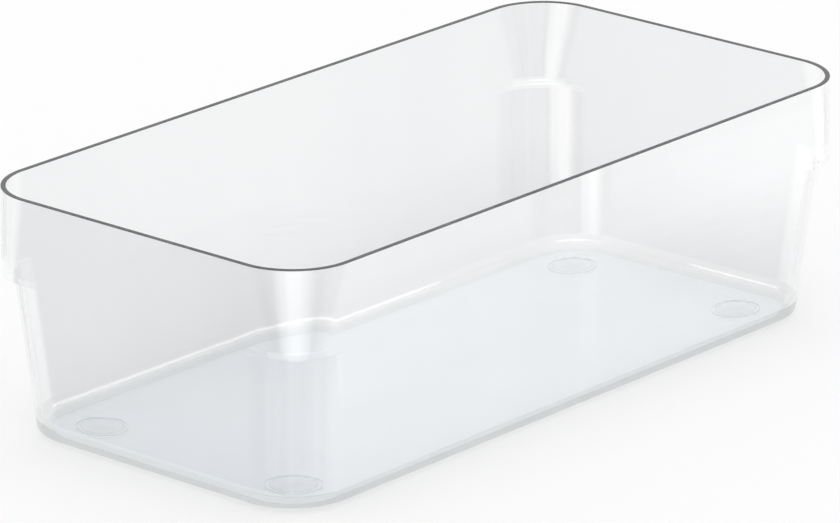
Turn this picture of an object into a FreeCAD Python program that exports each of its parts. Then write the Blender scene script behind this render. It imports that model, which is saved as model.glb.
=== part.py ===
import FreeCAD, Part

import math
import os

# Clear stacking drawer box: one moulded tray on four stick-on feet.
# Millimetres. +X along the long side, +Z up, feet standing on z = 0.

# Plan of the rim
rim_length = 300.0
rim_width = 150.0
rim_corner_radius = 24.0

# Walls and floor
tray_height = 88.5
wall = 1.8
draft_deg = 5.0
floor_thickness = 3.0
floor_fillet = 3.0
base_edge_radius = 2.0

# Stacking ledge: a flat step under each corner, where the corner radius jumps
ledge_depth = 32.3
ledge_corner_radius = 13.4
lower_corner_radius = 24.0

# Feet
foot_diameter = 18.4
foot_thickness = 1.8
foot_edge_chamfer = 0.6
foot_standoff = 1.5
adhesive_diameter = 16.0
adhesive_thickness = 0.2
pocket_diameter = 19.0

# Heights that follow from the values above
base_z = foot_standoff
rim_z = base_z + tray_height
floor_z = base_z + floor_thickness
ledge_z = rim_z - ledge_depth
inner_ledge_z = ledge_z + wall
pocket_roof_z = foot_thickness + adhesive_thickness
draft_slope = math.tan(math.radians(draft_deg))
upper_taper = (rim_corner_radius - ledge_corner_radius) / ledge_depth


def upper_radius(z):
    """Corner radius of the outer skin above the ledge, which grows towards the rim."""
    return rim_corner_radius - (rim_z - z) * upper_taper


def half_sizes(z, inset):
    """Half length and half width at height z, set in from the drafted outer skin."""
    shrink = (rim_z - z) * draft_slope + inset
    return rim_length / 2 - shrink, rim_width / 2 - shrink


def drafted_block(low_z, high_z, low_radius, high_radius, inset):
    """Drafted block between two heights, its corners rounded from one radius to the other."""
    low_x, low_y = half_sizes(low_z, inset)
    high_x, high_y = half_sizes(high_z, inset)
    block = Part.makeWedge(-low_x, low_z, -low_y, -high_y, -high_x, low_x, high_z, low_y, high_y, high_x)
    block.rotate(FreeCAD.Vector(), FreeCAD.Vector(1, 0, 0), 90)
    for sign_x, sign_y in ((1, 1), (-1, 1), (-1, -1), (1, -1)):
        edge = corner_edge(block, low_z, high_z, sign_x, sign_y)
        first, last = low_radius - inset, high_radius - inset
        if edge.valueAt(edge.FirstParameter).z > edge.valueAt(edge.LastParameter).z:
            first, last = last, first
        block = block.makeFillet(first, last, [edge])
    return block.Solids[0]


def corner_edge(block, low_z, high_z, sign_x, sign_y):
    """The sharp upright edge of the block at the corner with these signs of x and y."""
    upright = [e for e in block.Edges if e.BoundBox.ZLength > 0.99 * (high_z - low_z)]
    return max(upright, key=lambda e: sign_x * e.CenterOfMass.x + sign_y * e.CenterOfMass.y)


def level_edges(solid, z):
    """The solid's edges that lie flat at height z."""
    return [e for e in solid.Edges if abs(e.BoundBox.ZMin - z) < 1e-4 and abs(e.BoundBox.ZMax - z) < 1e-4]


def make_tray():
    """The one-piece moulding: walls, corner ledges, floor and foot pockets."""
    lower = drafted_block(base_z, ledge_z, lower_corner_radius, lower_corner_radius, 0)
    lower = lower.makeFillet(base_edge_radius, level_edges(lower, base_z))
    upper = drafted_block(ledge_z, rim_z, ledge_corner_radius, rim_corner_radius, 0)
    outer = lower.fuse(upper).removeSplitter()

    low_cavity = drafted_block(floor_z, inner_ledge_z, lower_corner_radius, lower_corner_radius, wall)
    low_cavity = low_cavity.makeFillet(floor_fillet, level_edges(low_cavity, floor_z))
    high_cavity = drafted_block(inner_ledge_z, rim_z, upper_radius(inner_ledge_z), rim_corner_radius, wall)
    cavity = low_cavity.fuse(high_cavity).removeSplitter()

    tray = outer.cut(cavity)
    for x, y in foot_centres().values():
        pocket = Part.makeCylinder(pocket_diameter / 2, pocket_roof_z - base_z, FreeCAD.Vector(x, y, base_z))
        tray = tray.cut(pocket)
    return tray


def foot_centres():
    """Foot positions by name, at the centres of the base's corner arcs."""
    half_length, half_width = half_sizes(base_z, 0)
    x = half_length - lower_corner_radius
    y = half_width - lower_corner_radius
    return {
        "front_left": (-x, -y),
        "front_right": (x, -y),
        "rear_left": (-x, y),
        "rear_right": (x, y),
    }


def make_foot(x, y):
    """A round pad with its lower edge broken."""
    foot = Part.makeCylinder(foot_diameter / 2, foot_thickness, FreeCAD.Vector(x, y, 0))
    return foot.makeChamfer(foot_edge_chamfer, level_edges(foot, 0))


def make_adhesive(x, y):
    """The thin adhesive disc between a foot and its pocket."""
    return Part.makeCylinder(adhesive_diameter / 2, adhesive_thickness, FreeCAD.Vector(x, y, foot_thickness))


nodes = {"tray": make_tray()}
for place, (foot_x, foot_y) in foot_centres().items():
    nodes["foot_" + place] = make_foot(foot_x, foot_y)
    nodes["foot_adhesive_" + place] = make_adhesive(foot_x, foot_y)

os.makedirs("parts", exist_ok=True)
for name, shape in nodes.items():
    shape.exportStep("parts/" + name + ".step")
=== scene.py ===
"""Looks of the clear storage box: a moulded tray on four soft feet, on a pale studio floor."""

import logging
import math
from dataclasses import dataclass, replace
from enum import Enum

import bmesh
import bpy
from mathutils import Euler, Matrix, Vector


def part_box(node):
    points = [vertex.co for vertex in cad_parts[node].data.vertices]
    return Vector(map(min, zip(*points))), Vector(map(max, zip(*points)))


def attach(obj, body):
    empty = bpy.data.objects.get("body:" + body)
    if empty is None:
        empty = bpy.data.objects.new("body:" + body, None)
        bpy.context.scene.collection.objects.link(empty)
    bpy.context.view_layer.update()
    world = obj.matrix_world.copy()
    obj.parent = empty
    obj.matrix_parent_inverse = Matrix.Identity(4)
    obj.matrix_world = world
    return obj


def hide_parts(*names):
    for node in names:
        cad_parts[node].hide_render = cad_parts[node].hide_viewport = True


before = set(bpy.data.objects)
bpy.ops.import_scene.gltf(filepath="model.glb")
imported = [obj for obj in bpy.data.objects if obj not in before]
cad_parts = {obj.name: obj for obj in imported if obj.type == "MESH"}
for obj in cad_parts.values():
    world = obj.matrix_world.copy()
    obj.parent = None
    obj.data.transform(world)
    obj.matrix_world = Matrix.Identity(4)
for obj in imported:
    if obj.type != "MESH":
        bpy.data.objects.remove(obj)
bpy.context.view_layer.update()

log = logging.getLogger("storage_box")

Colour = tuple[float, float, float]
MILLIMETRE = 0.001
BODY = "root"
# Vertex attribute that carries the painted light and shade in the walls' tint.
PAINTED_LIGHT_ATTRIBUTE = "painted_light_tone"

NOISE_LOW = 0.3
NOISE_HIGH = 0.7
FLOW_STRETCH: Colour = (1.0, 1.0, 0.35)
FLOW_DETAIL = 2.0
HAZE_SCALE = 60.0
HAZE_DETAIL = 3.0
RIPPLE_HEIGHT = 0.5 * MILLIMETRE
MERGE_DISTANCE = 1e-7
SHARP_ANGLE = math.radians(40.0)
FOOT_EDGE_RADIUS = 0.8 * MILLIMETRE
FILM_EDGE_RADIUS = 0.02 * MILLIMETRE


class Corner(Enum):
    """The four corners of the plan, as signs of x and y, in order round the box."""

    REAR_RIGHT = (1, 1)
    REAR_LEFT = (-1, 1)
    FRONT_LEFT = (-1, -1)
    FRONT_RIGHT = (1, -1)


class Zone(Enum):
    """The parts of the tray that have a finish of their own, as material slots."""

    OUTSIDE = 0
    INSIDE = 1
    RIM = 2
    FLOOR = 3
    FILLET = 4
    UNDERSIDE = 5
    BASE_EDGE = 6
    POCKET = 7
    LEDGE = 8
    UNDER_BORDER = 9
    CLEAR_CORNER = 10
    INNER_LEDGE = 11


class Facing(Enum):
    """Which way a lit panel faces, as its tilt from hanging flat and shining down."""

    DOWN = 0.0
    LEVEL = -math.pi / 2
    UP = math.pi


class Graph:
    """A material's or the world's node tree, with short calls for nodes and links."""

    def __init__(self, tree: bpy.types.NodeTree) -> None:
        """Empty the tree.

        Args:
            tree: The node tree to build in.
        """
        self.tree = tree
        tree.nodes.clear()

    def add(self, kind: str, inputs: dict[str, object] | None = None, **settings: object) -> bpy.types.Node:
        """Add a node.

        Args:
            kind: The node's class name in Blender.
            inputs: Plain values for its sockets, by name.
            settings: Values for the node's own properties.

        Returns:
            The new node.
        """
        node = self.tree.nodes.new(kind)
        for name, value in settings.items():
            setattr(node, name, value)
        for name, value in (inputs or {}).items():
            node.inputs[name].default_value = value
        return node

    def link(self, source: bpy.types.NodeSocket, target: bpy.types.NodeSocket) -> None:
        """Join an output socket to an input socket."""
        self.tree.links.new(source, target)

    def noise(self, scale: float, detail: float, stretch: Colour = (1.0, 1.0, 1.0)) -> bpy.types.NodeSocket:
        """Add a noise pattern on Object coordinates.

        Args:
            scale: Cycles of the pattern per metre.
            detail: Octaves of finer noise.
            stretch: Scale of the pattern along each axis.

        Returns:
            The pattern's factor output.
        """
        place = self.add("ShaderNodeTexCoord")
        mapping = self.add("ShaderNodeMapping", {"Scale": stretch})
        pattern = self.add("ShaderNodeTexNoise", {"Scale": scale, "Detail": detail})
        self.link(place.outputs["Object"], mapping.inputs["Vector"])
        self.link(mapping.outputs["Vector"], pattern.inputs["Vector"])
        return pattern.outputs["Fac"]

    def between(self, factor: bpy.types.NodeSocket, low: float, high: float) -> bpy.types.NodeSocket:
        """Map a noise factor to a range of plain values.

        Args:
            factor: The noise output.
            low: The value at the noise's dark end.
            high: The value at its bright end.

        Returns:
            The mapped output.
        """
        span = self.add("ShaderNodeMapRange", {
            "From Min": NOISE_LOW,
            "From Max": NOISE_HIGH,
            "To Min": low,
            "To Max": high,
        })
        self.link(factor, span.inputs["Value"])
        return span.outputs["Result"]

    def tones(
        self,
        factor: bpy.types.NodeSocket,
        stops: tuple[tuple[float, Colour], ...],
    ) -> bpy.types.NodeSocket:
        """Map a factor to a run of colours.

        Args:
            factor: The output that picks the colour.
            stops: Places on the run, from low to high, each with its colour.

        Returns:
            The colour output.
        """
        ramp = self.add("ShaderNodeValToRGB")
        elements = ramp.color_ramp.elements
        while len(elements) < len(stops):
            elements.new(1.0)
        for element, (position, colour) in zip(elements, stops):
            element.position = position
            element.color = (*colour, 1.0)
        self.link(factor, ramp.inputs["Fac"])
        return ramp.outputs["Color"]


@dataclass(frozen=True)
class ClearFinish:
    """A clear moulded plastic or gel: tint, polish, and faint marks of the mould."""

    name: str
    darker_tint: Colour
    lighter_tint: Colour
    transmission: float
    ior: float
    polish: tuple[float, float]
    ripple: float
    ripple_scale: float
    gloss: float = 1.0
    gloss_ior: float = 1.5
    cover: float = 1.0

    def material(self) -> bpy.types.Material:
        """Make the finish as a node material.

        Returns:
            The material.
        """
        material = bpy.data.materials.new(self.name)
        material.use_nodes = True
        graph = Graph(material.node_tree)
        output = graph.add("ShaderNodeOutputMaterial")
        shader = graph.add("ShaderNodeBsdfPrincipled", {
            "IOR": self.ior,
            "Transmission Weight": self.transmission,
            "Coat Weight": self.gloss,
            "Coat IOR": self.gloss_ior,
            "Coat Roughness": self.polish[0],
            "Alpha": self.cover,
        })
        flow = graph.noise(self.ripple_scale, FLOW_DETAIL, FLOW_STRETCH)
        haze = graph.noise(HAZE_SCALE, HAZE_DETAIL)
        bump = graph.add("ShaderNodeBump", {"Strength": self.ripple, "Distance": RIPPLE_HEIGHT})
        graph.link(self.tint(graph, flow), shader.inputs["Base Color"])
        graph.link(graph.between(haze, *self.polish), shader.inputs["Roughness"])
        graph.link(flow, bump.inputs["Height"])
        graph.link(bump.outputs["Normal"], shader.inputs["Normal"])
        graph.link(bump.outputs["Normal"], shader.inputs["Coat Normal"])
        graph.link(shader.outputs["BSDF"], output.inputs["Surface"])
        return material

    def tint(self, graph: Graph, flow: bpy.types.NodeSocket) -> bpy.types.NodeSocket:
        """Give the tint, which varies softly with the flow of the melt.

        Args:
            graph: The material's tree.
            flow: The flow pattern.

        Returns:
            The colour output.
        """
        return graph.tones(flow, ((NOISE_LOW, self.darker_tint), (NOISE_HIGH, self.lighter_tint)))


@dataclass(frozen=True)
class PaintedLightFinish(ClearFinish):
    """A clear finish whose tint carries painted light and shade: painted reflections up the corners, a
    painted tone per wall and a painted shadow low on the far walls.
    """

    body_tint: Colour = (0.9, 0.9, 0.9)
    wander: float = 0.06

    def tint(self, graph: Graph, flow: bpy.types.NodeSocket) -> bpy.types.NodeSocket:
        """Give the tint from the painted light and shade of the corners and walls, with a soft wander from
        the flow of the melt.

        Args:
            graph: The material's tree.
            flow: The flow pattern.

        Returns:
            The colour output.
        """
        streaks = graph.add("ShaderNodeAttribute", attribute_name=PAINTED_LIGHT_ATTRIBUTE)
        total = graph.add("ShaderNodeMath", operation="ADD")
        graph.link(streaks.outputs["Fac"], total.inputs[0])
        graph.link(graph.between(flow, -self.wander, self.wander), total.inputs[1])
        stops = ((0.0, self.darker_tint), (0.5, self.body_tint), (1.0, self.lighter_tint))
        return graph.tones(total.outputs["Value"], stops)


# The darker and lighter tints are the ends of the painted light and shade; the body tint is the plastic's
# own.
OUTSIDE_FINISH = PaintedLightFinish(
    name="clear_wall_outside",
    darker_tint=(0.82, 0.824, 0.834),
    body_tint=(0.91, 0.915, 0.922),
    lighter_tint=(1.0, 1.0, 1.0),
    transmission=0.98,
    ior=1.055,
    polish=(0.02, 0.05),
    ripple=0.02,
    ripple_scale=18.0,
)
INSIDE_FINISH = replace(OUTSIDE_FINISH, name="clear_wall_inside", ior=1.01)
CLEAR_CORNER_FINISH = replace(OUTSIDE_FINISH, name="clear_corner_outside", ior=1.004, gloss_ior=1.9)
LEDGE_FINISH = ClearFinish(
    name="clear_ledge",
    darker_tint=(0.95, 0.955, 0.96),
    lighter_tint=(0.98, 0.985, 0.99),
    transmission=0.98,
    ior=1.004,
    polish=(0.02, 0.05),
    ripple=0.02,
    ripple_scale=30.0,
    gloss=0.5,
)
INNER_LEDGE_FINISH = replace(LEDGE_FINISH, name="clear_inner_ledge", gloss=1.0, gloss_ior=1.9)
# Painted shade: the clear rim is tinted near black, standing in for the dark look of the wall seen end on,
# where light is led down inside the wall.
RIM_PAINTED_SHADE_FINISH = ClearFinish(
    name="rim_edge",
    darker_tint=(0.07, 0.072, 0.075),
    lighter_tint=(0.1, 0.102, 0.105),
    transmission=0.3,
    ior=1.05,
    polish=(0.15, 0.25),
    ripple=0.02,
    ripple_scale=40.0,
    gloss=0.3,
)
FLOOR_FINISH = ClearFinish(
    name="clear_floor",
    darker_tint=(0.935, 0.965, 0.992),
    lighter_tint=(0.955, 0.982, 1.0),
    transmission=0.99,
    ior=1.01,
    polish=(0.12, 0.2),
    ripple=0.02,
    ripple_scale=14.0,
    gloss=0.4,
)
FILLET_FINISH = ClearFinish(
    name="floor_fillet",
    darker_tint=(0.97, 0.985, 1.0),
    lighter_tint=(0.985, 0.995, 1.0),
    transmission=0.98,
    ior=1.01,
    polish=(0.05, 0.09),
    ripple=0.02,
    ripple_scale=30.0,
    gloss_ior=1.55,
)
UNDERSIDE_FINISH = ClearFinish(
    name="clear_underside",
    darker_tint=(0.945, 0.972, 0.994),
    lighter_tint=(0.96, 0.984, 1.0),
    transmission=0.99,
    ior=1.01,
    polish=(0.15, 0.25),
    ripple=0.02,
    ripple_scale=14.0,
    gloss=0.3,
)
# Darker band round the foot of the base: partly the thick edge of the base slab, partly painted shade
# standing in for the shaded gap under the base.
BASE_EDGE_FINISH = ClearFinish(
    name="base_edge",
    darker_tint=(0.75, 0.765, 0.765),
    lighter_tint=(0.79, 0.805, 0.805),
    transmission=0.96,
    ior=1.01,
    polish=(0.04, 0.1),
    ripple=0.02,
    ripple_scale=25.0,
    gloss=0.3,
)
# Painted shade: a darker border round the underside, standing in for the shaded gap between the base and the
# table.
UNDER_BORDER_SHADE_FINISH = ClearFinish(
    name="underside_border_painted_shade",
    darker_tint=(0.68, 0.7, 0.7),
    lighter_tint=(0.74, 0.76, 0.76),
    transmission=0.96,
    ior=1.01,
    polish=(0.05, 0.1),
    ripple=0.02,
    ripple_scale=25.0,
)
POCKET_FINISH = ClearFinish(
    name="pocket_edge",
    darker_tint=(0.74, 0.77, 0.79),
    lighter_tint=(0.81, 0.84, 0.86),
    transmission=0.7,
    ior=1.01,
    polish=(0.1, 0.2),
    ripple=0.02,
    ripple_scale=100.0,
)
ZONE_FINISHES: dict[Zone, ClearFinish] = {
    Zone.OUTSIDE: OUTSIDE_FINISH,
    Zone.INSIDE: INSIDE_FINISH,
    Zone.RIM: RIM_PAINTED_SHADE_FINISH,
    Zone.FLOOR: FLOOR_FINISH,
    Zone.FILLET: FILLET_FINISH,
    Zone.UNDERSIDE: UNDERSIDE_FINISH,
    Zone.BASE_EDGE: BASE_EDGE_FINISH,
    Zone.POCKET: POCKET_FINISH,
    Zone.LEDGE: LEDGE_FINISH,
    Zone.UNDER_BORDER: UNDER_BORDER_SHADE_FINISH,
    Zone.CLEAR_CORNER: CLEAR_CORNER_FINISH,
    Zone.INNER_LEDGE: INNER_LEDGE_FINISH,
}

FOOT_FINISH = ClearFinish(
    name="clear_foot_gel",
    darker_tint=(0.86, 0.89, 0.91),
    lighter_tint=(0.92, 0.945, 0.96),
    transmission=0.0,
    ior=1.3,
    polish=(0.25, 0.4),
    ripple=0.06,
    ripple_scale=220.0,
    gloss=0.2,
    cover=0.004,
)
FOOT_EDGE_FINISH = ClearFinish(
    name="foot_gel_edge",
    darker_tint=(0.8, 0.83, 0.85),
    lighter_tint=(0.88, 0.91, 0.925),
    transmission=0.0,
    ior=1.3,
    polish=(0.25, 0.4),
    ripple=0.06,
    ripple_scale=220.0,
    gloss=0.2,
    cover=0.04,
)
ADHESIVE_FINISH = ClearFinish(
    name="adhesive_film",
    darker_tint=(0.88, 0.91, 0.93),
    lighter_tint=(0.95, 0.97, 0.98),
    transmission=0.0,
    ior=1.3,
    polish=(0.3, 0.5),
    ripple=0.04,
    ripple_scale=400.0,
    gloss=0.0,
    cover=0.003,
)
ADHESIVE_EDGE_FINISH = ClearFinish(
    name="adhesive_edge",
    darker_tint=(0.42, 0.46, 0.48),
    lighter_tint=(0.52, 0.56, 0.58),
    transmission=0.0,
    ior=1.3,
    polish=(0.3, 0.5),
    ripple=0.04,
    ripple_scale=400.0,
    gloss=0.0,
    cover=0.14,
)


@dataclass(frozen=True)
class PaintedStreak:
    """A band that runs up a corner, painted lighter as a highlight where its change is positive and darker
    as reflected shade where it is negative.
    """

    turn: float
    half_width: float
    change: float

    def at(self, turn: float) -> float:
        """Give the band's change of the painted tint at a place round the corner."""
        return self.change * math.exp(-(((turn - self.turn) / self.half_width) ** 2))


# Painted reflections: lighter and darker bands up each corner's tint stand in for the highlights and dark
# reflected bands of the corners.
BACK_PAINTED_STREAKS = (
    PaintedStreak(0.08, 0.05, -0.3),
    PaintedStreak(0.25, 0.09, 0.9),
    PaintedStreak(0.36, 0.03, 0.3),
    PaintedStreak(0.42, 0.025, -0.2),
    PaintedStreak(0.7, 0.25, -0.28),
    PaintedStreak(0.63, 0.02, 0.12),
    PaintedStreak(0.82, 0.02, 0.1),
    PaintedStreak(0.92, 0.02, -0.1),
)
FRONT_PAINTED_STREAKS = (
    PaintedStreak(0.15, 0.12, -0.2),
    PaintedStreak(0.22, 0.02, 0.1),
    PaintedStreak(0.37, 0.04, -0.1),
    PaintedStreak(0.44, 0.02, 0.1),
    PaintedStreak(0.5, 0.3, -0.1),
    PaintedStreak(0.55, 0.02, -0.08),
    PaintedStreak(0.69, 0.03, 0.08),
    PaintedStreak(0.74, 0.02, -0.1),
    PaintedStreak(0.87, 0.1, 0.14),
)
SIDE_PAINTED_STREAKS = (
    PaintedStreak(0.5, 0.65, 0.75),
    PaintedStreak(0.12, 0.03, -0.15),
    PaintedStreak(0.24, 0.03, -0.28),
    PaintedStreak(0.76, 0.03, -0.28),
    PaintedStreak(0.88, 0.03, -0.15),
)
CORNER_PAINTED_STREAKS = {
    Corner.REAR_RIGHT: BACK_PAINTED_STREAKS,
    Corner.REAR_LEFT: SIDE_PAINTED_STREAKS,
    Corner.FRONT_LEFT: FRONT_PAINTED_STREAKS,
    Corner.FRONT_RIGHT: SIDE_PAINTED_STREAKS,
}
# Painted light and shade per wall: the tint of each end wall and long wall is set lighter or darker for how
# the light falls on that side, lightest on the front long wall.
END_AND_LONG_WALL_PAINTED_LIGHT = {
    Corner.REAR_RIGHT: (0.33, 0.5),
    Corner.REAR_LEFT: (0.34, 0.5),
    Corner.FRONT_LEFT: (0.27, 0.86),
    Corner.FRONT_RIGHT: (0.42, 0.96),
}
STREAK_FADE = 0.04
# Painted shadow: the far walls are tinted darker towards their foot, up to the height below, standing in for
# the shadow on the table behind them seen through the walls.
END_AND_LONG_WALL_PAINTED_SHADOW = {
    Corner.REAR_RIGHT: (-0.5, -0.45),
    Corner.REAR_LEFT: (0.0, -0.1),
    Corner.FRONT_LEFT: (0.0, 0.0),
    Corner.FRONT_RIGHT: (-0.55, 0.0),
}
PAINTED_SHADOW_TOP = 42.0 * MILLIMETRE


def corner_painted_light(corner: Corner, turn: float, lowness: float) -> float:
    """Give the painted light and shade at a place round a corner: painted reflections, each wall's painted
    tone and the painted shadow low on the far walls.

    Args:
        corner: The corner.
        turn: 0 where the corner starts, counter-clockwise from above, to 1 where it ends.
        lowness: Share of the painted shadow, 1 at the foot of the wall, down to 0 at the shadow's top.

    Returns:
        0 for the darkest painted tint, 1 for the lightest.
    """
    fade = min(1.0, turn / STREAK_FADE, (1.0 - turn) / STREAK_FADE)
    change = sum(streak.at(turn) for streak in CORNER_PAINTED_STREAKS[corner])
    sign_x, sign_y = corner.value
    to_long_wall = turn if sign_x == sign_y else 1.0 - turn
    # Each wall's painted tone, with the painted shadow added towards the foot of the far walls.
    pairs = zip(END_AND_LONG_WALL_PAINTED_LIGHT[corner], END_AND_LONG_WALL_PAINTED_SHADOW[corner])
    end_wall, long_wall = (painted_light_tone + lowness * foot_change for painted_light_tone, foot_change in pairs)
    walls = end_wall + (long_wall - end_wall) * to_long_wall
    return walls + max(fade, 0.0) * change


@dataclass(frozen=True)
class Section:
    """One level outline of the tray: a rounded rectangle."""

    half_length: float
    half_width: float
    radius: float
    height: float

    def draw(self, bm: bmesh.types.BMesh, segments: int) -> list[bmesh.types.BMEdge]:
        """Draw the outline as a closed ring of edges, with the painted light and shade of the tint along it.

        Args:
            bm: The mesh to draw in.
            segments: Steps of each corner's arc.

        Returns:
            The ring's edges.
        """
        plate = bmesh.ops.create_grid(bm, x_segments=1, y_segments=1, size=1.0)["verts"]
        bmesh.ops.scale(bm, vec=(self.half_length, self.half_width, 1.0), verts=plate)
        bmesh.ops.translate(bm, vec=(0.0, 0.0, self.height), verts=plate)
        rounded = bmesh.ops.bevel(
            bm, geom=plate, affect="VERTICES", offset=self.radius, offset_type="OFFSET",
            segments=segments, profile=0.5, material=-1, clamp_overlap=False,
        )
        face = rounded["verts"][0].link_faces[0]
        ring = list(face.edges)
        painted_light_tone = bm.verts.layers.float[PAINTED_LIGHT_ATTRIBUTE]
        for vert in face.verts:
            vert[painted_light_tone] = self.painted_light_tone(vert.co)
        bmesh.ops.delete(bm, geom=[face], context="FACES_ONLY")
        return ring

    def painted_light_tone(self, place: Vector) -> float:
        """Give the painted light and shade at a place on the outline.

        Args:
            place: The place, on one of the corner arcs.

        Returns:
            0 for the darkest painted tint, 1 for the lightest.
        """
        corner = Corner((int(math.copysign(1, place.x)), int(math.copysign(1, place.y))))
        sign_x, sign_y = corner.value
        out_x = sign_x * place.x - (self.half_length - self.radius)
        out_y = sign_y * place.y - (self.half_width - self.radius)
        turn = math.atan2(out_y, out_x) / (math.pi / 2)
        lowness = max(0.0, 1.0 - self.height / PAINTED_SHADOW_TOP)
        return corner_painted_light(corner, turn if sign_x == sign_y else 1.0 - turn, lowness)


@dataclass
class Tray:
    """The one-piece moulding, rebuilt as one smooth closed skin round the CAD node's place."""

    node: str = "tray"
    wall: float = 1.8 * MILLIMETRE
    draft: float = math.radians(5.0)
    floor_thickness: float = 3.0 * MILLIMETRE
    floor_fillet: float = 3.0 * MILLIMETRE
    base_edge_radius: float = 2.0 * MILLIMETRE
    rim_edge_radius: float = 0.3 * MILLIMETRE
    rim_crown: float = 0.04 * MILLIMETRE
    rim_corner_radius: float = 24.0 * MILLIMETRE
    ledge_depth: float = 32.3 * MILLIMETRE
    ledge_corner_radius: float = 13.4 * MILLIMETRE
    lower_corner_radius: float = 24.0 * MILLIMETRE
    ledge_edge_radius: float = 0.45 * MILLIMETRE
    ledge_rise: float = 0.05 * MILLIMETRE
    ledge_collar: float = 2.7 * MILLIMETRE
    border_width: float = 3.8 * MILLIMETRE
    base_band: float = 5.0 * MILLIMETRE
    border_drop: float = 0.02 * MILLIMETRE
    pocket_radius: float = 9.5 * MILLIMETRE
    pocket_depth: float = 0.5 * MILLIMETRE
    corner_segments: int = 48
    edge_segments: int = 6
    pocket_segments: int = 64

    def __post_init__(self) -> None:
        """Take the overall sizes from the CAD node's box."""
        low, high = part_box(self.node)
        self.half_length = high.x
        self.half_width = high.y
        self.base_height = low.z
        self.rim_height = high.z
        self.ledge_height = self.rim_height - self.ledge_depth

    def section(self, height: float, radius: float, inset: float) -> Section:
        """Give the outline at a height.

        Args:
            height: Height above the table.
            radius: Corner radius of the outer skin there.
            inset: How far the outline lies inside the outer skin.

        Returns:
            The outline.
        """
        shrink = (self.rim_height - height) * math.tan(self.draft) + inset
        return Section(self.half_length - shrink, self.half_width - shrink, radius - inset, height)

    def upper_radius(self, height: float) -> float:
        """Give the outer corner radius above the ledge, which tapers down from the rim."""
        taper = (self.rim_corner_radius - self.ledge_corner_radius) / self.ledge_depth
        return self.rim_corner_radius - (self.rim_height - height) * taper

    def rounded_foot_of_wall(self, level: float, rounding: float, inset: float) -> list[Section]:
        """Give the outlines of a rounding between a level face and the wall above it.

        Args:
            level: Height of the level face.
            rounding: Radius of the rounding.
            inset: How far the wall lies inside the outer skin.

        Returns:
            The outlines, from the level face up.
        """
        sweep = math.pi / 2 - self.draft
        top = level + rounding * (1.0 - math.cos(sweep))
        outlines = []
        for step in range(self.edge_segments + 1):
            angle = sweep * step / self.edge_segments
            height = level + rounding * (1.0 - math.cos(angle))
            reach = rounding * (math.sin(sweep) - math.sin(angle)) - (top - height) * math.tan(self.draft)
            outlines.append(self.section(height, self.lower_corner_radius, inset + reach))
        return outlines

    def ledge(self, level: float, inset: float) -> list[Section]:
        """Give the outlines of the stacking ledge, where only the corners step out.

        Args:
            level: Height of the ledge's face.
            inset: How far the skin lies inside the outer skin.

        Returns:
            The outlines, from the wall below the ledge to the wall above it.
        """
        diagonal = math.sqrt(2.0) - 1.0
        edge = self.ledge_edge_radius
        top_radius = self.upper_radius(level + edge + self.ledge_rise)
        width = (self.lower_corner_radius - top_radius) * diagonal
        path: list[tuple[float, float]] = []
        for step in range(self.edge_segments + 1):
            angle = math.pi / 2 * step / self.edge_segments
            path.append((edge * (1.0 - math.cos(angle)), edge * (math.sin(angle) - 1.0)))
        for step in range(self.edge_segments + 1):
            angle = math.pi / 2 * step / self.edge_segments
            out = width - edge + edge * math.sin(angle)
            path.append((out, self.ledge_rise + edge * (1.0 - math.cos(angle))))
        return [
            self.section(level + rise, self.lower_corner_radius - out / diagonal, inset)
            for out, rise in path
        ]

    def rim(self) -> list[Section]:
        """Give the outlines over the rim, from the outer wall to the inner wall.

        Returns:
            The outlines in order.
        """
        edge = self.rim_edge_radius
        outer = []
        inner = []
        for step in range(self.edge_segments + 1):
            angle = math.pi / 2 * step / self.edge_segments
            height = self.rim_height - self.rim_crown - edge + edge * math.sin(angle)
            back = edge * (1.0 - math.cos(angle))
            outer.append(self.section(height, self.upper_radius(height), back))
            inner.append(self.section(height, self.upper_radius(height), self.wall - back))
        crown = self.section(self.rim_height, self.rim_corner_radius, self.wall / 2)
        return outer + [crown] + inner[::-1]

    def skin(self) -> list[tuple[Section, Zone, Zone]]:
        """List the outlines from under the base, over the rim, to the inner floor.

        Returns:
            Each outline, with the zones of the strip that leads to it, on the flat walls and in the corners.
        """
        inner_ledge = self.ledge_height + self.wall
        collar = self.ledge_height + self.ledge_collar
        floor_height = self.base_height + self.floor_thickness
        base = self.rounded_foot_of_wall(self.base_height, self.base_edge_radius, 0.0)
        base.append(self.section(self.base_height + self.base_band, self.lower_corner_radius, 0.0))
        # The underside's border is the painted shade zone under the base band.
        border_inset = self.base_edge_radius + self.border_width
        border = self.section(self.base_height + self.border_drop, self.lower_corner_radius, border_inset)
        outer_ledge = self.ledge(self.ledge_height, 0.0)
        outer_ledge.append(self.section(collar, self.upper_radius(collar), 0.0))
        floor = self.rounded_foot_of_wall(floor_height, self.floor_fillet, self.wall)
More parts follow.
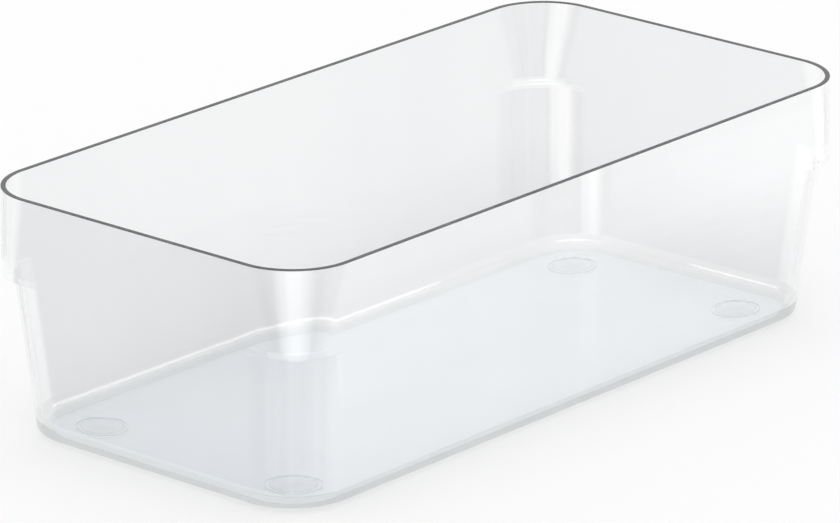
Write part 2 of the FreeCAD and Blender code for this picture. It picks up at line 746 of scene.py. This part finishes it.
        # Extra rings at the top of the painted shadow on the lower walls.
        outer_foot = self.section(PAINTED_SHADOW_TOP, self.lower_corner_radius, 0.0)
        inner_foot = self.section(PAINTED_SHADOW_TOP, self.lower_corner_radius, self.wall)
        runs = (
            ([border], Zone.UNDERSIDE, Zone.UNDERSIDE, Zone.UNDERSIDE),
            (base, Zone.UNDER_BORDER, Zone.BASE_EDGE, Zone.BASE_EDGE),
            ([outer_foot], Zone.OUTSIDE, Zone.OUTSIDE, Zone.OUTSIDE),
            (outer_ledge, Zone.OUTSIDE, Zone.OUTSIDE, Zone.LEDGE),
            (self.rim(), Zone.OUTSIDE, Zone.RIM, Zone.RIM),
            (self.ledge(inner_ledge, self.wall)[::-1], Zone.INSIDE, Zone.INSIDE, Zone.INNER_LEDGE),
            ([inner_foot], Zone.INSIDE, Zone.INSIDE, Zone.INSIDE),
            (floor[::-1], Zone.INSIDE, Zone.FILLET, Zone.FILLET),
        )
        outlines: list[tuple[Section, Zone, Zone]] = []
        for run, approach, on_flats, in_corners in runs:
            for index, outline in enumerate(run):
                zones = (on_flats, in_corners) if index else (approach, approach)
                outlines.append((outline, *zones))
        return outlines

    def build(self, pocket_centres: list[Vector]) -> bpy.types.Object:
        """Build the tray's mesh object.

        Args:
            pocket_centres: Centres of the foot pockets in the underside.

        Returns:
            The tray, placed and dressed.
        """
        bm = bmesh.new()
        bm.verts.layers.float.new(PAINTED_LIGHT_ATTRIBUTE)
        rings: list[list[bmesh.types.BMEdge]] = []
        for outline, on_flats, in_corners in self.skin():
            rings.append(outline.draw(bm, self.corner_segments))
            if len(rings) > 1:
                strip = bmesh.ops.bridge_loops(bm, edges=rings[-2] + rings[-1])
                for face in strip["faces"]:
                    face.material_index = self.zone_at(face.calc_center_median(), on_flats, in_corners).value
        floor = bmesh.ops.edgeloop_fill(bm, edges=rings[-1], mat_nr=Zone.FLOOR.value)
        log.info("inner floor closed with %d face", len(floor["faces"]))
        self.close_underside(bm, rings[0], pocket_centres)
        return finished_piece("tray_shell", bm, [ZONE_FINISHES[zone] for zone in Zone])

    def zone_at(self, place: Vector, on_flats: Zone, in_corners: Zone) -> Zone:
        """Give the zone at a place on the skin.

        Args:
            place: The middle of a face.
            on_flats: The zone of the face's strip on the flat walls.
            in_corners: The zone of the strip in the corners.

        Returns:
            The zone. The outside of every corner but the front left one is extra clear.
        """
        if min(abs(place.x), abs(place.y)) < MILLIMETRE:
            return on_flats
        if in_corners is Zone.OUTSIDE and max(place.x, place.y) > 0.0:
            return Zone.CLEAR_CORNER
        return in_corners

    def close_underside(
        self,
        bm: bmesh.types.BMesh,
        outline: list[bmesh.types.BMEdge],
        centres: list[Vector],
    ) -> None:
        """Close the underside round the foot pockets and sink the pockets.

        Args:
            bm: The tray's mesh.
            outline: The underside's outer ring.
            centres: Centres of the pockets.
        """
        mouths: list[list[bmesh.types.BMEdge]] = []
        for centre in centres:
            mouth = bmesh.ops.create_circle(bm, segments=self.pocket_segments, radius=self.pocket_radius)
            place = Vector((centre.x, centre.y, self.base_height + self.border_drop))
            bmesh.ops.translate(bm, verts=mouth["verts"], vec=place)
            mouths.append(list({edge for vert in mouth["verts"] for edge in vert.link_edges}))
        boundary = outline + [edge for mouth in mouths for edge in mouth]
        plate = bmesh.ops.triangle_fill(bm, edges=boundary, use_beauty=True, normal=(0, 0, -1))
        faces = [item for item in plate["geom"] if isinstance(item, bmesh.types.BMFace)]
        for mouth in mouths:
            sunk = bmesh.ops.extrude_edge_only(bm, edges=mouth)
            verts = [item for item in sunk["geom"] if isinstance(item, bmesh.types.BMVert)]
            bmesh.ops.translate(bm, verts=verts, vec=(0, 0, self.pocket_depth - self.border_drop))
            roof = [
                item for item in sunk["geom"]
                if isinstance(item, bmesh.types.BMEdge) and all(vert in verts for vert in item.verts)
            ]
            faces += bmesh.ops.edgeloop_fill(bm, edges=roof)["faces"]
            for face in (item for item in sunk["geom"] if isinstance(item, bmesh.types.BMFace)):
                face.material_index = Zone.POCKET.value
        for face in faces:
            face.material_index = Zone.UNDERSIDE.value

    def dress(self, shell: bpy.types.Object) -> None:
        """Tie the shell to the frame in the CAD node's place."""
        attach(shell, BODY)
        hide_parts(self.node)


@dataclass
class RoundPad:
    """A round flat piece turned about a vertical axis: a foot or its adhesive disc."""

    node: str
    finish: ClearFinish
    edge_finish: ClearFinish
    slot: str
    lower_edge_radius: float
    air_gap: float = 0.02 * MILLIMETRE
    edge_band: float = 0.6 * MILLIMETRE
    edge_segments: int = 6
    turn_steps: int = 64

    def __post_init__(self) -> None:
        """Take the place and size from the CAD node's box."""
        self.low, self.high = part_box(self.node)
        self.centre = (self.low + self.high) / 2
        self.radius = (self.high.x - self.low.x) / 2

    def build(self) -> bpy.types.Object:
        """Turn the pad's profile about its axis.

        Returns:
            The pad as a mesh object.
        """
        bottom = self.low.z
        top = self.high.z - self.air_gap
        edge = self.lower_edge_radius
        profile = [Vector((0, 0, bottom))]
        for step in range(self.edge_segments + 1):
            angle = math.pi / 2 * step / self.edge_segments
            out = self.radius - edge + edge * math.sin(angle)
            profile.append(Vector((out, 0, bottom + edge * (1.0 - math.cos(angle)))))
        profile += [Vector((self.radius - back, 0, top)) for back in (0.0, self.edge_band, self.radius)]
        axis_place = Vector((self.centre.x, self.centre.y, 0))
        bm = bmesh.new()
        points = [bm.verts.new(point + axis_place) for point in profile]
        lines = [bm.edges.new(pair) for pair in zip(points, points[1:])]
        bmesh.ops.spin(
            bm, geom=points + lines, cent=axis_place, axis=(0, 0, 1), angle=2 * math.pi,
            steps=self.turn_steps, use_merge=True, use_duplicate=False,
        )
        for face in bm.faces:
            out = (face.calc_center_median() - axis_place).to_2d().length
            face.material_index = int(out > self.radius - self.edge_band)
        return finished_piece(self.node + "_shape", bm, [self.finish, self.edge_finish])

    def dress(self, pad: bpy.types.Object) -> None:
        """Tie the pad to the frame in the CAD node's place."""
        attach(pad, BODY)
        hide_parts(self.node)


MADE_MATERIALS: dict[str, bpy.types.Material] = {}


def material_of(finish: ClearFinish) -> bpy.types.Material:
    """Give the finish's material, made once.

    Args:
        finish: The finish.

    Returns:
        Its material.
    """
    if finish.name not in MADE_MATERIALS:
        MADE_MATERIALS[finish.name] = finish.material()
    return MADE_MATERIALS[finish.name]


def finished_piece(name: str, bm: bmesh.types.BMesh, finishes: list[ClearFinish]) -> bpy.types.Object:
    """Turn a bmesh into a smooth object with its finishes and even normals.

    Args:
        name: The object's name.
        bm: The finished shape, which is freed.
        finishes: One finish per material slot.

    Returns:
        The object.
    """
    bmesh.ops.remove_doubles(bm, verts=bm.verts, dist=MERGE_DISTANCE)
    bmesh.ops.recalc_face_normals(bm, faces=bm.faces)
    for face in bm.faces:
        face.smooth = True
    for edge in bm.edges:
        edge.smooth = edge.calc_face_angle(0.0) < SHARP_ANGLE
    mesh = bpy.data.meshes.new(name)
    bm.to_mesh(mesh)
    bm.free()
    for finish in finishes:
        mesh.materials.append(material_of(finish))
    piece = bpy.data.objects.new(name, mesh)
    bpy.context.scene.collection.objects.link(piece)
    evened = piece.modifiers.new("even_normals", "WEIGHTED_NORMAL")
    evened.mode = "FACE_AREA"
    evened.weight = 100
    evened.keep_sharp = True
    return piece


@dataclass(frozen=True)
class Reflector:
    """A lit panel that shows only in the gloss of the plastic, as a softbox or a card does."""

    name: str
    centre: tuple[float, float, float]
    length: float
    width: float
    heading: float
    brightness: float
    facing: Facing
    layers: int = 1
    core: float = 1.0
    layer_gap: float = 0.1 * MILLIMETRE

    def place(self) -> None:
        """Hang the panel in the scene, as layers that narrow to its core so that its sides fade out."""
        for layer in range(self.layers):
            narrowing = (1.0 - self.core) * layer / max(self.layers - 1, 1)
            forward = layer * self.layer_gap
            self.place_layer(self.width * (1.0 - narrowing), self.brightness / self.layers, forward)

    def place_layer(self, width: float, brightness: float, forward: float) -> None:
        """Hang one layer of the panel.

        Args:
            width: The layer's width.
            brightness: Its brightness, where the white of the room is 1.
            forward: How far it lies in front of the first layer.
        """
        data = bpy.data.lights.new(self.name, "AREA")
        data.shape = "RECTANGLE"
        data.size = self.length
        data.size_y = width
        data.energy = brightness * math.pi * self.length * width
        panel = bpy.data.objects.new(self.name, data)
        turn = Euler((0.0, self.facing.value, self.heading))
        panel.location = Vector(self.centre) + turn.to_matrix() @ Vector((0.0, 0.0, -forward))
        panel.rotation_euler = turn
        panel.visible_camera = False
        panel.visible_diffuse = False
        panel.visible_transmission = False
        panel.visible_volume_scatter = False
        bpy.context.scene.collection.objects.link(panel)


REFLECTORS = (
    Reflector(
        "overhead_softbox", centre=(0.0, 0.0, 1.2), length=0.7, width=0.5,
        heading=0.0, brightness=5.0, facing=Facing.DOWN,
    ),
    Reflector(
        "right_softbox", centre=(1.25, -0.1, 1.2), length=0.7, width=1.2,
        heading=0.0, brightness=3.0, facing=Facing.DOWN,
    ),
    Reflector(
        "rear_softbox", centre=(0.1, 0.95, 1.2), length=0.9, width=0.5,
        heading=0.0, brightness=3.0, facing=Facing.DOWN,
    ),
    Reflector(
        "front_card", centre=(0.13, -0.165, 0.0002), length=0.42, width=0.1,
        heading=0.0, brightness=0.85, facing=Facing.UP, layers=5, core=0.35,
    ),
    Reflector(
        "corner_strip", centre=(-0.1553, -0.0771, 0.0685), length=0.033, width=0.037,
        heading=math.radians(41.15), brightness=5.0, facing=Facing.LEVEL, layers=5, core=0.35,
    ),
)


@dataclass
class Studio:
    """The pale floor, the soft light and the camera of the photograph."""

    floor_size: float = 8.0
    floor_drop: float = 0.05 * MILLIMETRE
    floor_glow: float = 0.5
    sensor_width: float = 36.0
    lens: float = 289.09
    aim: tuple[float, float, float] = (-0.10992, -0.09252, 0.09)
    distance: float = 2.2228
    azimuth: float = math.radians(-49.147)
    elevation: float = math.radians(19.073)

    def place_floor(self) -> None:
        """Lay the pale floor under the feet."""
        bm = bmesh.new()
        bmesh.ops.create_grid(bm, x_segments=1, y_segments=1, size=self.floor_size / 2)
        bmesh.ops.translate(bm, verts=bm.verts, vec=(0, 0, -self.floor_drop))
        mesh = bpy.data.meshes.new("studio_floor")
        bm.to_mesh(mesh)
        bm.free()
        mesh.materials.append(self.floor_material())
        floor = bpy.data.objects.new("studio_floor", mesh)
        bpy.context.scene.collection.objects.link(floor)

    def floor_material(self) -> bpy.types.Material:
        """Make the floor's matt white, which glows softly for the camera and for the plastic.

        Returns:
            The material.
        """
        material = bpy.data.materials.new("studio_floor")
        material.use_nodes = True
        graph = Graph(material.node_tree)
        output = graph.add("ShaderNodeOutputMaterial")
        matt = graph.add("ShaderNodeBsdfPrincipled", {
            "Base Color": (0.98, 0.98, 0.98, 1.0),
            "Roughness": 0.9,
            "Specular IOR Level": 0.0,
        })
        glow = graph.add("ShaderNodeEmission", {"Strength": 1.0})
        path = graph.add("ShaderNodeLightPath")
        seen = path.outputs["Is Camera Ray"]
        for kind in ("Is Glossy Ray", "Is Transmission Ray"):
            total = graph.add("ShaderNodeMath", operation="MAXIMUM")
            graph.link(seen, total.inputs[0])
            graph.link(path.outputs[kind], total.inputs[1])
            seen = total.outputs["Value"]
        share = graph.add("ShaderNodeMath", operation="MULTIPLY")
        share.inputs[1].default_value = self.floor_glow
        mixed = graph.add("ShaderNodeMixShader")
        graph.link(seen, share.inputs[0])
        graph.link(share.outputs["Value"], mixed.inputs["Fac"])
        graph.link(matt.outputs["BSDF"], mixed.inputs[1])
        graph.link(glow.outputs["Emission"], mixed.inputs[2])
        graph.link(mixed.outputs["Shader"], output.inputs["Surface"])
        return material

    def place_lights(self) -> None:
        """Fill the room with even white light."""
        world = bpy.data.worlds.new("studio_room")
        bpy.context.scene.world = world
        world.use_nodes = True
        graph = Graph(world.node_tree)
        output = graph.add("ShaderNodeOutputWorld")
        room = graph.add("ShaderNodeBackground", {"Color": (1.0, 1.0, 1.0, 1.0), "Strength": 1.0})
        graph.link(room.outputs["Background"], output.inputs["Surface"])
        for reflector in REFLECTORS:
            reflector.place()

    def place_camera(self) -> None:
        """Set the camera as the photograph's."""
        level = math.cos(self.elevation)
        back = Vector((
            math.sin(self.azimuth) * level,
            -math.cos(self.azimuth) * level,
            math.sin(self.elevation),
        ))
        data = bpy.data.cameras.new("photo_camera")
        data.sensor_fit = "HORIZONTAL"
        data.sensor_width = self.sensor_width
        data.lens = self.lens
        data.clip_end = 100.0
        camera = bpy.data.objects.new("photo_camera", data)
        camera.location = Vector(self.aim) + back * self.distance
        camera.rotation_euler = back.to_track_quat("Z", "Y").to_euler()
        bpy.context.scene.collection.objects.link(camera)
        bpy.context.scene.camera = camera


def main() -> None:
    """Build and dress every piece, then set the studio."""
    logging.basicConfig(level=logging.INFO)
    feet = []
    for place in ("front_left", "front_right", "rear_left", "rear_right"):
        foot = RoundPad("foot_" + place, FOOT_FINISH, FOOT_EDGE_FINISH, "clear_foot", FOOT_EDGE_RADIUS)
        film_node = "foot_adhesive_" + place
        film = RoundPad(film_node, ADHESIVE_FINISH, ADHESIVE_EDGE_FINISH, "adhesive", FILM_EDGE_RADIUS)
        for pad in (foot, film):
            pad.dress(pad.build())
            log.info("%s: radius %.1f mm", pad.node, pad.radius / MILLIMETRE)
        feet.append(foot)
    tray = Tray()
    tray.dress(tray.build([foot.centre for foot in feet]))
    log.info("tray: %.0f mm long", 2 * tray.half_length / MILLIMETRE)
    studio = Studio()
    studio.place_floor()
    studio.place_lights()
    studio.place_camera()
    bpy.context.scene.view_settings.view_transform = "Standard"


if __name__ == "__main__":
    main()
